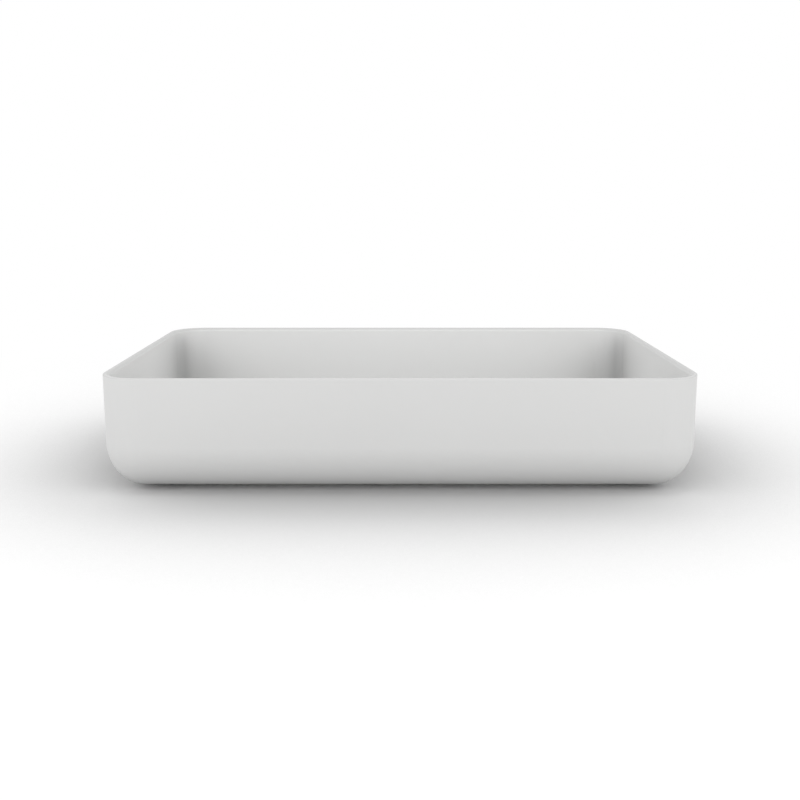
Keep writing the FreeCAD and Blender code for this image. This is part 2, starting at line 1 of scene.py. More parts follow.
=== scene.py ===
import json
import math
import bpy
import numpy as np
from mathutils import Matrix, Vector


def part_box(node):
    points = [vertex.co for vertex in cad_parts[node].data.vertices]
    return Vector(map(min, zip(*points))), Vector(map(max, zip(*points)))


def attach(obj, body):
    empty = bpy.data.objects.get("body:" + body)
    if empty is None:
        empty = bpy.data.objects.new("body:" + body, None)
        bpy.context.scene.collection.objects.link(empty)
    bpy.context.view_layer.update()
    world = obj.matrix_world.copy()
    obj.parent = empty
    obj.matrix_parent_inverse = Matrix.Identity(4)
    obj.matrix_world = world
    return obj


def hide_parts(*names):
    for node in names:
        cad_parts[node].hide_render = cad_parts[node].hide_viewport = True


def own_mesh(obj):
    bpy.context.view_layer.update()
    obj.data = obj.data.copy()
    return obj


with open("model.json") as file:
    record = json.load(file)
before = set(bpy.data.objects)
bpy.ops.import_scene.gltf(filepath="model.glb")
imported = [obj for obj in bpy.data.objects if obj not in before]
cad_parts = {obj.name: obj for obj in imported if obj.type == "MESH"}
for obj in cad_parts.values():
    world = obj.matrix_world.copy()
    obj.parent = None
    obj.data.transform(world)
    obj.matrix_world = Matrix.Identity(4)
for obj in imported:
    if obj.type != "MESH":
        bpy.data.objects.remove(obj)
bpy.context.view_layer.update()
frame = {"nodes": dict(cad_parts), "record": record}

nodes = frame["nodes"]
mm = 0.001
print("frame loaded with", len(nodes), "nodes")


class Wire:  # one socket of a shader tree; sums on wires add Math nodes
    def __init__(self, tree, socket=None):
        self.tree, self.socket = tree, socket

    def node(self, kind, settings={}, inputs={}, output=0):  # settings first, then the sockets
        made = self.tree.nodes.new("ShaderNode" + kind)
        for key, setting in settings.items():
            setattr(made, key, setting)
        for key, given in inputs.items():
            if isinstance(given, Wire):
                self.tree.links.new(given.socket, made.inputs[key])
            else:
                made.inputs[key].default_value = given
        return Wire(self.tree, made.outputs[output] if made.outputs else None)

    def sum(self, operation, *terms):
        return self.node("Math", {"operation": operation}, dict(enumerate(terms)))

    def __add__(self, other):
        return self.sum("ADD", self, other)

    def __radd__(self, other):
        return self.sum("ADD", other, self)

    def __sub__(self, other):
        return self.sum("SUBTRACT", self, other)

    def __rsub__(self, other):
        return self.sum("SUBTRACT", other, self)

    def __mul__(self, other):
        return self.sum("MULTIPLY", self, other)

    def __rmul__(self, other):
        return self.sum("MULTIPLY", other, self)

    def __truediv__(self, other):
        return self.sum("DIVIDE", self, other)

    def __pow__(self, other):
        return self.sum("POWER", self, other)

    def wave(self):
        return self.sum("SINE", self)

    def axis(self, name):
        return self.node("SeparateXYZ", inputs={"Vector": self}, output=name)

    def noise(self, scale, detail=2.0, rough=0.5):
        return self.node("TexNoise", inputs={"Vector": self, "Scale": scale, "Detail": detail,
                                             "Roughness": rough})

    def ramp(self, low, high):  # soft step from 0 at low to 1 at high
        return self.node("MapRange", {"interpolation_type": "SMOOTHSTEP"},
                         {"Value": self, "From Min": low, "From Max": high, "To Min": 0.0, "To Max": 1.0})

    def blend(self, first, second):  # colours mixed by this wire
        return self.node("Mix", {"data_type": "RGBA"}, {0: self, 6: first, 7: second}, output=2)

    def shades(self, colour, low, high):  # from low times to high times the colour
        return self.blend(tint(colour, low), tint(colour, high))

    def times(self, colour):  # the colour multiplied by this wire
        return self.node("Mix", {"data_type": "RGBA", "blend_type": "MULTIPLY"},
                         {0: 1.0, 6: colour, 7: self}, output=2)

    def bump(self, height):  # this wire raises the surface by up to height metres
        return self.node("Bump", inputs={"Height": self, "Distance": height, "Strength": 1.0},
                         output="Normal")

    def stretched(self, x, y, z):  # coordinates scaled along each axis
        return self.node("VectorMath", {"operation": "MULTIPLY"}, {0: self, 1: (x, y, z)})


def tint(colour, factor=1.0):
    return tuple(c * factor for c in colour) + (1.0,)


def makeFinish(name, look, fixed=None):
    # look is a function of the object's coordinates that gives the sockets that vary
    material = bpy.data.materials.new(name)
    material.use_nodes = True
    tree = material.node_tree
    tree.nodes.clear()
    start = Wire(tree)
    place = start.node("TexCoord", output="Object")
    shader = start.node("BsdfPrincipled", inputs={**(fixed or {}), **look(place)})
    start.node("OutputMaterial", inputs={"Surface": shader})
    return material


def span(first, second):  # root of the sum of two squares
    return (first ** 2.0 + second ** 2.0) ** 0.5


def radius(place):  # distance from the drain's axis
    return span(place.axis("X"), place.axis("Y"))


# Satin glaze: faint clouds and specks, bare clay on the foot, and the painted shade and painted light that
# the piece's own map holds, which darkens the glaze above 0 and lightens it below
glaze = {"colour": (0.71, 0.711, 0.706), "roughness": 0.48, "specular": 0.25, "paintedShadingDepth": 0.52,
         "clouds": 0.012, "cloudScale": 7.0, "specks": 0.05, "speckScale": 2600.0,
         "speckRange": (0.72, 0.80), "speckTone": 0.7, "smear": 0.10, "smearScale": 60.0,
         "clay": (0.62, 0.59, 0.545), "clayScale": 900.0, "clayTones": (0.9, 1.08), "clayRough": 0.42,
         "bareBelow": 0.0004, "glazeLine": 0.0010, "relief": 0.000035, "peel": 0.7, "peelScale": 420.0,
         "waves": 2.0, "waveScale": 38.0, "grit": 0.8, "gritScale": 3000.0}


def glazeLook(place):
    g = glaze
    bare = 1 - place.axis("Z").ramp(g["bareBelow"], g["glazeLine"])
    clouds = place.noise(g["cloudScale"], detail=3.0)
    specks = place.noise(g["speckScale"], detail=1.0).ramp(*g["speckRange"])  # pinholes and fine specks
    shade = clouds.shades(g["colour"], 1 - g["clouds"], 1 + g["clouds"])
    shade = (specks * g["specks"]).blend(shade, tint(g["clay"], g["speckTone"]))
    # painted shade and painted light from the piece's own map
    paintedShading = place.node("Attribute", {"attribute_name": "paintedShading"}, output="Fac")
    shade = (1 - paintedShading * g["paintedShadingDepth"]).times(shade)
    clay = place.noise(g["clayScale"], detail=4.0, rough=0.7).shades(g["clay"], *g["clayTones"])
    smear = place.noise(g["smearScale"], detail=3.0) - 0.5
    peel = place.noise(g["peelScale"]) * g["peel"]
    waves = place.noise(g["waveScale"], detail=1.0) * g["waves"]
    grit = bare * place.noise(g["gritScale"]) * g["grit"]
    return {"Base Color": bare.blend(shade, clay),
            "Roughness": g["roughness"] + smear * g["smear"] + bare * g["clayRough"],
            "Normal": (peel + waves + grit).bump(g["relief"])}


# Chrome: turned rings, water marks and a few wiping scratches
plating = {"colour": (0.80, 0.81, 0.82), "film": (0.70, 0.70, 0.69), "roughness": 0.07, "rings": 1500.0,
           "ringHeight": 0.25, "marks": 0.35, "markScale": 180.0, "markRange": (0.52, 0.66),
           "markRough": 0.09, "wipeScale": 240.0, "wipeStretch": 14.0, "wipeRange": (0.58, 0.75),
           "wipeRough": 0.05, "relief": 0.000004}


def platingLook(place):
    p = plating
    rings = (radius(place) * (p["rings"] * 2 * math.pi)).wave()
    marks = place.noise(p["markScale"], detail=3.0, rough=0.6).ramp(*p["markRange"])
    wiped = place.stretched(1.0, p["wipeStretch"], 1.0).noise(p["wipeScale"]).ramp(*p["wipeRange"])
    return {"Base Color": (marks * p["marks"]).blend(tint(p["colour"]), tint(p["film"])),
            "Roughness": p["roughness"] + marks * p["markRough"] + wiped * p["wipeRough"],
            "Normal": (rings * p["ringHeight"] + wiped).bump(p["relief"])}


# Silicone: milky, with a soft bloom and fine mould grain
silicone = {"colour": (0.62, 0.63, 0.64), "roughness": 0.52, "bloomScale": 90.0, "bloomTones": (0.93, 1.06),
            "bloomRough": 0.16, "grainScale": 1800.0, "grain": 0.00001}


def siliconeLook(place):
    s = silicone
    bloom = place.noise(s["bloomScale"], detail=3.0)
    return {"Base Color": bloom.shades(s["colour"], *s["bloomTones"]),
            "Roughness": s["roughness"] + bloom * s["bloomRough"],
            "Normal": place.noise(s["grainScale"]).bump(s["grain"])}


# Black rubber: chalky dust over a pebbled skin
rubber = {"colour": (0.035, 0.035, 0.038), "dust": (0.10, 0.10, 0.10), "roughness": 0.78, "dustShare": 0.55,
          "dustScale": 140.0, "dustRange": (0.48, 0.72), "dustRough": 0.14, "pebbleScale": 1500.0,
          "pebble": 0.00004}


def rubberLook(place):
    r = rubber
    dust = place.noise(r["dustScale"], detail=4.0, rough=0.65).ramp(*r["dustRange"])
    return {"Base Color": (dust * r["dustShare"]).blend(tint(r["colour"]), tint(r["dust"])),
            "Roughness": r["roughness"] + dust * r["dustRough"],
            "Normal": place.noise(r["pebbleScale"]).bump(r["pebble"])}


# Nylon: off-white, slightly mottled
nylon = {"colour": (0.80, 0.80, 0.77), "roughness": 0.48, "mottleScale": 220.0, "mottleTones": (0.94, 1.04),
         "mottleRough": 0.12, "grainScale": 1300.0, "grain": 0.000012}


def nylonLook(place):
    n = nylon
    mottle = place.noise(n["mottleScale"], detail=3.0)
    return {"Base Color": mottle.shades(n["colour"], *n["mottleTones"]),
            "Roughness": n["roughness"] + mottle * n["mottleRough"],
            "Normal": place.noise(n["grainScale"]).bump(n["grain"])}


# Brass: turned lines round the axis and brown tarnish in patches
brass = {"colour": (0.74, 0.55, 0.27), "tarnish": (0.42, 0.28, 0.13), "roughness": 0.27,
         "lineScale": 5200.0, "lineStretch": 0.05, "lineRough": 0.06, "lines": 0.000012,
         "patches": 0.45, "patchScale": 150.0, "patchRange": (0.50, 0.72), "patchRough": 0.20}


def brassLook(place):
    b = brass
    lines = place.stretched(b["lineStretch"], b["lineStretch"], 1.0).noise(b["lineScale"])
    patch = place.noise(b["patchScale"], detail=4.0, rough=0.6).ramp(*b["patchRange"])
    return {"Base Color": (patch * b["patches"]).blend(tint(b["colour"]), tint(b["tarnish"])),
            "Roughness": b["roughness"] + patch * b["patchRough"] + lines * b["lineRough"],
            "Normal": lines.bump(b["lines"])}


# Acetal: dark grey moulding with a fine spark-eroded grain
acetal = {"colour": (0.30, 0.31, 0.32), "roughness": 0.46, "flowScale": 160.0, "flowStretch": 0.25,
          "flowTones": (0.90, 1.08), "flowRough": 0.14, "grainScale": 2400.0, "grain": 0.000016}


def acetalLook(place):
    a = acetal
    flow = place.stretched(1.0, 1.0, a["flowStretch"]).noise(a["flowScale"], detail=3.0)
    return {"Base Color": flow.shades(a["colour"], *a["flowTones"]),
            "Roughness": a["roughness"] + flow * a["flowRough"],
            "Normal": place.noise(a["grainScale"]).bump(a["grain"])}


# Spring wire: drawn streaks that run along the wire, on the piece's own map
wire = {"colour": (0.55, 0.56, 0.57), "roughness": 0.26, "across": 60.0, "along": 3.0,
        "streakTones": (0.82, 1.10), "streakRough": 0.16, "streaks": 0.000006}


def wireLook(place):
    w = wire
    turns = place.node("UVMap", {"uv_map": "turns"})
    streak = turns.stretched(w["across"], w["along"], 1.0).noise(1.0, detail=3.0, rough=0.7)
    return {"Base Color": streak.shades(w["colour"], *w["streakTones"]),
            "Roughness": w["roughness"] + streak * w["streakRough"],
            "Normal": streak.bump(w["streaks"])}


metal = {"Metallic": 1.0}
finishes = {
    "white_ceramic": makeFinish("satinGlaze", glazeLook, {"Specular IOR Level": glaze["specular"]}),
    "chrome": makeFinish("chromePlate", platingLook, metal),
    "silicone": makeFinish("milkySilicone", siliconeLook),
    "black_rubber": makeFinish("blackRubber", rubberLook),
    "white_nylon": makeFinish("whiteNylon", nylonLook),
    "brass": makeFinish("turnedBrass", brassLook, metal),
    "grey_acetal": makeFinish("greyAcetal", acetalLook),
    "spring_steel": makeFinish("springWire", wireLook, metal),
}
for subpart in frame["record"]["subparts"]:
    for slot in nodes[subpart["node"]].material_slots:
        slot.material = finishes[subpart["material_slot"]]
print("finishes made:", len(finishes))


def makePiece(name, grids, slot, sharp, paintedShading=None):
    # Each grid is points[row, column, xyz] in millimetres. Its columns run in a ring, and so do its rows
    # where it is closed; otherwise its first and last rows are capped. Neighbouring points make quads, and
    # a grid that encloses a negative volume is turned round.
    allPoints, allQuads, allEnds, allMaps, first = [], [], [], [], 0
    for points, closed in grids:
        rows, columns = points.shape[:2]
        r, c = np.meshgrid(np.arange(rows if closed else rows - 1), np.arange(columns), indexing="ij")
        corners = [(r, c), (r, c + 1), (r + 1, c + 1), (r + 1, c)]
        quads = np.stack([(a % rows) * columns + b % columns for a, b in corners], -1).reshape(-1, 4)
        maps = np.stack([np.stack([b / columns, a / rows], -1) for a, b in corners], -2)
        maps = maps.reshape(-1, 4, 2)
        line = np.arange(columns)
        ends = [] if closed else [line[::-1], line + (rows - 1) * columns]
        flat = (points - points.mean((0, 1))).reshape(-1, 3)
        a, b, d, e = (flat[quads[:, k]] for k in range(4))
        if (a * np.cross(b, d)).sum() + (a * np.cross(d, e)).sum() < 0:
            quads, maps, ends = quads[:, ::-1], maps[:, ::-1], [end[::-1] for end in ends]
        allPoints.append(points.reshape(-1, 3))
        allQuads.append(quads + first)
        allMaps.append(maps)
        allEnds += [end + first for end in ends]
        first += rows * columns
    quads = np.concatenate(allQuads)
    loops = np.concatenate([quads.ravel(), *allEnds]).astype(np.int32)
    sizes = np.array([4] * len(quads) + [len(end) for end in allEnds])
    mesh = bpy.data.meshes.new(name)
    mesh.vertices.add(first)
    mesh.vertices.foreach_set("co", (np.concatenate(allPoints) * mm).astype(np.float32).ravel())
    mesh.loops.add(len(loops))
    mesh.loops.foreach_set("vertex_index", loops)
    mesh.polygons.add(len(sizes))
    mesh.polygons.foreach_set("loop_start", (np.cumsum(sizes) - sizes).astype(np.int32))
    turns = mesh.uv_layers.new(name="turns")
    spread = np.zeros((len(loops), 2), np.float32)
    spread[:quads.size] = np.concatenate(allMaps).reshape(-1, 2)
    turns.data.foreach_set("uv", spread.ravel())
    # the piece's map of painted shade and painted light
    if paintedShading is not None:
        shades = mesh.attributes.new("paintedShading", "FLOAT", "POINT")
        shades.data.foreach_set("value", paintedShading.astype(np.float32).ravel())
    mesh.update(calc_edges=True)
    mesh.validate()
    mesh.shade_smooth()
    mesh.set_sharp_from_angle(angle=math.radians(sharp))
    mesh.materials.append(finishes[slot])
    piece = bpy.data.objects.new(name, mesh)
    bpy.context.scene.collection.objects.link(piece)
    print(name, len(mesh.polygons), "faces")
    return piece


def run(start, end, steps):  # rows from start up to, and without, end
    return start + (end - start) * np.linspace(0, 1, steps, endpoint=False)[:, None]


def quarter(steps):  # angles from 0 up to, and without, a right angle
    return np.linspace(0, math.pi / 2, steps, endpoint=False)


# Basin: one skin that goes round the section and round the outline, so it closes on itself both ways.
# hold is how far from a bend the next row of the flat wall stays.
basin = {"corner": 40, "baseBend": 39, "bendRise": 45, "rim": 6, "rimOutside": 1.5, "rimInside": 4,
         "floorBend": 33, "floor": 18, "dishInset": 3, "dishCorner": 60, "land": 39, "landLevel": 14,
         "recess": 34, "recessRound": 2, "seat": 9.5, "drain": 22.455, "footInset": 8, "footWidth": 18,
         "footCorner": 30, "footRound": 1.0, "relief": 4, "hold": 1, "sharp": 40,
         "columns": (64, 48, 18), "bendRows": 16, "roundRows": 6,
         # painted shade in the bowl's corners, on the rim's edge and under the rim, painted light high on the
         # long walls
         "paintedShadeMap": {"corner": 0.97, "cornerWay": 38, "start": 5, "depth": 19, "alongWall": 8,
                  "wallGrowth": 0.44, "alongEnd": 75, "wallLight": 0.16, "lightFrom": 62, "lightTurn": 6,
                  "outside": 0.05, "edge": 0.27, "edgeBehind": 0.47, "edgeEase": 0.2, "edgeEnd": 3.5,
                  "sideEnd": 1, "lip": 0.11, "lipDepth": 3.5}}
basin["dish"] = basin["rim"] + basin["floorBend"] + basin["dishInset"]


def outlineColumns(longSteps, shortSteps, cornerSteps):
    # Once round a rounded rectangle, anticlockwise from the front left: for each column the share of the
    # straight half sides, and the way that the corner's arc points. Columns crowd towards the corners.
    shares, ways = [], []
    for side, steps in enumerate((longSteps, shortSteps) * 2):
        turn = side * math.pi / 2
        spin = np.array([[math.cos(turn), math.sin(turn)], [-math.sin(turn), math.cos(turn)]])
        along = -np.cos(np.linspace(0, math.pi, steps, endpoint=False))
        angle = np.linspace(-math.pi / 2, 0, cornerSteps, endpoint=False)
        straight = np.stack([along, -np.ones(steps)], -1)
        arc = np.stack([np.cos(angle), np.sin(angle)], -1)
        shares += [straight @ spin, np.tile([1.0, -1.0], (cornerSteps, 1)) @ spin]
        ways += [np.tile([0.0, -1.0], (steps, 1)) @ spin, arc @ spin]
    return np.concatenate(shares), np.concatenate(ways)


def basinRows(halfW, halfD, top):
    # The section, from the drain hole out under the basin, up the outside and over the rim, and then down
    # the bowl and back to the drain hole. A row holds half width, half depth, corner radius, circle radius,
    # share of the circle and height.
    b = basin
    rim, low, bend, rise, hold = b["rim"], b["relief"], b["baseBend"], b["bendRise"], b["hold"]
    floor, floorBend, land, recess = b["floor"], b["floorBend"], b["landLevel"], b["recess"]
    footRound, outRound, inRound, dip = b["footRound"], b["rimOutside"], b["rimInside"], b["recessRound"]
    toe = bend + b["footInset"]
    heel = toe + b["footWidth"]
    wallTop, wallFoot = top - inRound, floor + floorBend

    def ring(inset, z, corner=None, circle=0.0, share=0.0):
        corner = b["corner"] - inset if corner is None else corner
        return np.array([halfW - inset, halfD - inset, corner, circle, share, z])

    def under(share):
        return ring(heel, low, b["footCorner"], b["drain"], share)

    def foot(inset, z):
        return ring(inset, z, b["footCorner"] + heel - inset)

    def fall(share, z, circle=b["land"]):
        return ring(b["dish"], z, b["dishCorner"], circle, share)

    def bent(make, steps):  # rows of a bend, made from 1 - sine and 1 - cosine of each angle
        return np.array([make(1 - math.sin(a), 1 - math.cos(a)) for a in quarter(steps)])

    outer = [
        run(under(1), under(0), 10),
        run(foot(heel, low), foot(heel, footRound), 2),
        bent(lambda s, c: foot(heel - footRound * c, footRound * s), b["roundRows"]),
        run(foot(heel - footRound, 0), foot(toe + footRound, 0), 4),
        bent(lambda s, c: foot(toe + footRound * s, footRound * c), b["roundRows"]),
        run(foot(toe, footRound), foot(toe, low), 2),
        run(foot(toe, low), ring(bend, low), 4),
        bent(lambda s, c: ring(bend * s, low + rise * c), b["bendRows"]),
        run(ring(0, low + rise), ring(0, low + rise + hold), 1),
        run(ring(0, low + rise + hold), ring(0, top - outRound - hold), 6),
        run(ring(0, top - outRound - hold), ring(0, top - outRound), 1),
        bent(lambda s, c: ring(outRound * c, top - outRound * s), b["roundRows"]),
        run(ring(outRound, top), ring(rim - inRound, top), 1),
    ]
    bowl = [
        bent(lambda s, c: ring(rim - inRound * s, top - inRound * c), b["roundRows"]),
        run(ring(rim, wallTop), ring(rim, wallTop - hold), 1),
        run(ring(rim, wallTop - hold), ring(rim, wallFoot + hold), 12),
        run(ring(rim, wallFoot + hold), ring(rim, wallFoot), 1),
        bent(lambda s, c: ring(rim + floorBend * c, floor + floorBend * s), b["bendRows"]),
        run(ring(rim + floorBend, floor), fall(0, floor), 3),
        run(fall(0, floor), fall(1, land), 20),
        run(fall(1, land), fall(1, land, recess + dip), 2),
        bent(lambda s, c: fall(1, land - dip * c, recess + dip * s), b["roundRows"]),
        run(fall(1, land - dip, recess), fall(1, b["seat"], recess), 2),
        run(fall(1, b["seat"], recess), fall(1, b["seat"], b["drain"]), 3),
        run(fall(1, b["seat"], b["drain"]), fall(1, low, b["drain"]), 3),
    ]
    return outer, bowl


def basinPaintedShading(points, ways, half, outer, bowl):
    # Painted shade darkens the glaze in the upright corners of the bowl. It is strongest on one line
    # of the corner and dies away along both walls from there. It deepens and spreads below the rim, and
    # fades over the bend. Painted light makes the long walls a little lighter towards their tops.
    b, t = basin, basin["paintedShadeMap"]
    halfW, halfD, top = half
    x, y, z = np.moveaxis(points, -1, 0)
    arc = b["corner"] - b["rim"]
    turned = np.arctan2(np.abs(ways[:, 1]), np.abs(ways[:, 0])) - math.radians(t["cornerWay"])
    wallWay = arc * np.clip(turned, 0, None) + np.clip(halfW - b["corner"] - np.abs(x), 0, None)
    endWay = arc * np.clip(-turned, 0, None) + np.clip(halfD - b["corner"] - np.abs(y), 0, None)
    below = np.clip(top - t["start"] - z, 0, None)
    wallReach = t["alongWall"] + t["wallGrowth"] * below
    paintedShadeMap = t["corner"] * np.exp(-wallWay / wallReach - endWay / t["alongEnd"])
    paintedShadeMap *= (1 - np.exp(-below / t["depth"])) * np.clip((z - b["floor"]) / b["floorBend"], 0, 1)
    lit = np.clip((z - t["lightFrom"]) / (top - t["lightFrom"]), 0, 1)
    paintedShadeMap -= t["wallLight"] * ways[:, 1] ** t["lightTurn"] * lit
    # Outside, a faint painted shade grows over the bend and up the wall. Painted shade makes the edge of the
    # rim darker, more so at the sides and the back, and eases into the walls. Under the rim at the two ends a
    # dark lip of painted shade dies away.
    bend = b["baseBend"]
    rimRow = sum(map(len, outer))
    edgeRow, wallRow = rimRow - len(outer[-1]), rimRow + len(bowl[0])
    side = np.abs(ways[:, 0])
    edge = t["edge"] + (t["edgeBehind"] - t["edge"]) * np.clip(1 + ways[:, 1], 0, 1)
    up, inward = (np.linspace(0, 1, len(rows))[:, None] for rows in (outer[-2], bowl[0]))
    paintedShadeMap[:rimRow] = t["outside"] * np.clip((z[:rimRow] - bend / 2) / bend, 0, 1)
    paintedShadeMap[edgeRow - len(up):edgeRow] = t["outside"] + (edge - t["outside"]) * up ** t["edgeEase"]
    paintedShadeMap[edgeRow:rimRow] = edge
    paintedShadeMap[wallRow:] += t["lip"] * side * np.exp((z[wallRow:] - top + b["rimInside"]) / t["lipDepth"])
    paintedShadeMap[rimRow:wallRow] = edge - (edge - paintedShadeMap[wallRow]) * inward ** (t["edgeEnd"] + t["sideEnd"] * side)
    return paintedShadeMap


def basinSkin():
    # A point is the rounded rectangle's point of its row, moved towards the circle by the row's share
    b = basin
    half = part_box("basin_bowl")[1] / mm
    outer, bowl = basinRows(*half)
    hw, hd, corner, circle, share, z = (column[:, None] for column in np.concatenate(outer + bowl).T)
    shares, ways = outlineColumns(*b["columns"])
    x = shares[:, 0] * (hw - corner) + corner * ways[:, 0]
    y = shares[:, 1] * (hd - corner) + corner * ways[:, 1]
    mouth = shares * (np.array(half[:2]) - b["dish"] - b["dishCorner"]) + b["dishCorner"] * ways
    mouth /= np.linalg.norm(mouth, axis=1, keepdims=True)
    x = (1 - share) * x + share * circle * mouth[:, 0]
    y = (1 - share) * y + share * circle * mouth[:, 1]
    points = np.stack([x, y, np.broadcast_to(z, x.shape)], -1)
    return points, basinPaintedShading(points, ways, half, outer, bowl)


skin, skinPaintedShading = basinSkin()
basinPiece = makePiece("basinSkin", [(skin, True)], "white_ceramic", basin["sharp"], skinPaintedShading)
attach(basinPiece, "basin")
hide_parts("basin_bowl")


# Waste: a turned section carried round the axis, its threads cut as a wave that climbs one pitch a turn,
# with a hub held by arms inside the tail
waste = {"foot": -52.1, "bore": 18.205, "boreMouth": 18.7, "boreFlare": 0.5, "nose": 19.7, "noseTop": -51.0,
         "thread": 20.955, "pitch": 2.309, "threadDepth": 1.35, "lowerEnd": -15.1, "groove": 20.255,
         "grooveFoot": -15.0, "grooveHead": -13.6, "upperStart": -13.5, "upperEnd": 2.0,
         "neck": 20.305, "neckFoot": 2.1, "neckHead": 5.0, "pilot": 22.155, "pilotFoot": 6.0,
         "flange": 32.0, "flangeUnder": 11.0, "underRound": 0.5, "edgeTop": 12.7, "edgeRound": 0.8,
         "mouth": 22.9, "mouthTop": 13.04, "mouthRound": 0.9, "seat": 21.6, "seatTop": 12.2, "seatFoot": 5.0,
         "hub": 10, "hubBore": 6.6, "hubFoot": -21.5, "hubHead": -13.5, "hubChamfer": 0.6,
         "arms": 3, "armFrom": 9.2, "armTo": 19.0, "armLevel": -17.5, "armWidth": 4, "armHeight": 6,
         "armRound": 0.35, "armFlare": 0.45, "flareFrom": 9.6, "flareTo": 18.4, "flareReach": 0.9,
         "around": 96, "hubAround": 48, "sharp": 32}


def turnedGrid(rim, level, around, cut=0.0, pitch=1.0):
    # Radius and height for each row; where cut is set, the radius drops by a wave of height and angle
    angle = np.linspace(0, 2 * math.pi, around, endpoint=False)
    rim, level, cut = (column[:, None] for column in np.broadcast_arrays(rim, level, cut))
    wave = 0.5 - 0.5 * np.cos(2 * math.pi * (level / pitch) - angle)
    reach = rim - cut * wave
    return np.stack([reach * np.cos(angle), reach * np.sin(angle), np.broadcast_to(level, reach.shape)], -1)


def wasteSection():
    # Radius, height and share of thread for each row: from the foot of the bore out and up the tail, round
    # the flange, and back down the seat and the bore
    w = waste
    foot, bore, thread, groove, neck = w["foot"], w["bore"], w["thread"], w["groove"], w["neck"]
    pilot, flange, under, brow = w["pilot"], w["flange"], w["flangeUnder"], w["edgeTop"]
    underRound, edgeRound, mouthRound = w["underRound"], w["edgeRound"], w["mouthRound"]
    angle = quarter(5)
    sine, cosine = np.sin(angle), np.cos(angle)

    def leg(start, end, steps, cut=0):
        return run(np.array([*start, cut]), np.array([*end, cut]), steps)

    def bend(reach, level):
        return np.stack([reach, level, 0 * angle], -1)

    return np.concatenate([
        leg((w["boreMouth"], foot), (w["nose"], foot), 1),
        leg((w["nose"], foot), (thread, w["noseTop"]), 2),
        leg((thread, w["noseTop"]), (thread, w["lowerEnd"]), 160, cut=1),
        leg((thread, w["lowerEnd"]), (groove, w["grooveFoot"]), 1),
        leg((groove, w["grooveFoot"]), (groove, w["grooveHead"]), 2),
        leg((groove, w["grooveHead"]), (thread, w["upperStart"]), 1),
        leg((thread, w["upperStart"]), (thread, w["upperEnd"]), 70, cut=1),
        leg((thread, w["upperEnd"]), (neck, w["neckFoot"]), 1),
        leg((neck, w["neckFoot"]), (neck, w["neckHead"]), 2),
        leg((neck, w["neckHead"]), (pilot, w["pilotFoot"]), 2),
        leg((pilot, w["pilotFoot"]), (pilot, under), 2),
        leg((pilot, under), (flange - underRound, under), 4),
        bend(flange - underRound + underRound * sine, under + underRound - underRound * cosine),
        leg((flange, under + underRound), (flange, brow), 2),
        bend(flange - edgeRound + edgeRound * cosine, brow + edgeRound * sine),
        leg((flange - edgeRound, brow + edgeRound), (w["mouth"], w["mouthTop"]), 6),
        bend(w["mouth"] - mouthRound * sine, w["mouthTop"] - mouthRound + mouthRound * cosine),
        leg((w["seat"], w["seatTop"]), (bore, w["seatFoot"]), 5),
        leg((bore, w["seatFoot"]), (bore, foot + w["boreFlare"]), 14),
        leg((bore, foot + w["boreFlare"]), (w["boreMouth"], foot), 1),
    ]).T


def hubSection():  # radius and height round the hub's chamfered section
    w = waste
    near, far, low, high, c = w["hubBore"], w["hub"], w["hubFoot"], w["hubHead"], w["hubChamfer"]
    stops = np.array([[near, low + c], [near + c, low], [far - c, low], [far, low + c],
                      [far, high - c], [far - c, high], [near + c, high], [near, high - c]])
    return np.concatenate([run(a, b, 3) for a, b in zip(stops, np.roll(stops, -1, 0))]).T


def wasteGrids():
    w = waste
    rim, level, thread = wasteSection()
    starts = np.clip((level - w["noseTop"]) / w["pitch"], 0, 1)  # the thread fades in and out over one pitch
    stops = np.clip((w["upperEnd"] - level) / w["pitch"], 0, 1)
    tail = turnedGrid(rim, level, w["around"], thread * w["threadDepth"] * starts * stops, w["pitch"])
    grids = [(tail, True), (turnedGrid(*hubSection(), w["hubAround"]), True)]
    # An arm is a bar from the hub to the tube that flares where it meets them. Its section is a circle that
    # a low power of the sine and cosine squares off.
    along = np.linspace(w["armFrom"], w["armTo"], 24)[:, None]
    inner, outer = (along - w["flareFrom"]) / w["flareReach"], (along - w["flareTo"]) / w["flareReach"]
    flare = 1 + w["armFlare"] * (np.exp(-inner) + np.exp(outer))
    turn = np.linspace(0, 2 * math.pi, 28, endpoint=False)[None, :]
    wide, high = (np.sign(v) * np.abs(v) ** w["armRound"] for v in (np.cos(turn), np.sin(turn)))
    side = wide * w["armWidth"] / 2 * flare
    rise = high * w["armHeight"] / 2 * np.ones_like(flare) + w["armLevel"]
    for spin in np.arange(w["arms"]) * 2 * math.pi / w["arms"]:
        x = along * math.cos(spin) - side * math.sin(spin)
        y = along * math.sin(spin) + side * math.cos(spin)
        grids.append((np.stack([x, y, rise], -1), False))
    return grids


wastePiece = makePiece("threadedWaste", wasteGrids(), "chrome", waste["sharp"])
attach(wastePiece, "basin")
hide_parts("waste_body")


# Plug cover: a shallow dome with rounded edges over a pocket for its carrier, carried round the axis
cover = {"edge": 3.5, "crown": 5, "rounding": 1.2, "pocket": 22.08, "pocketDepth": 2.65, "pole": 1.5,
         "around": 128, "sharp": 35}


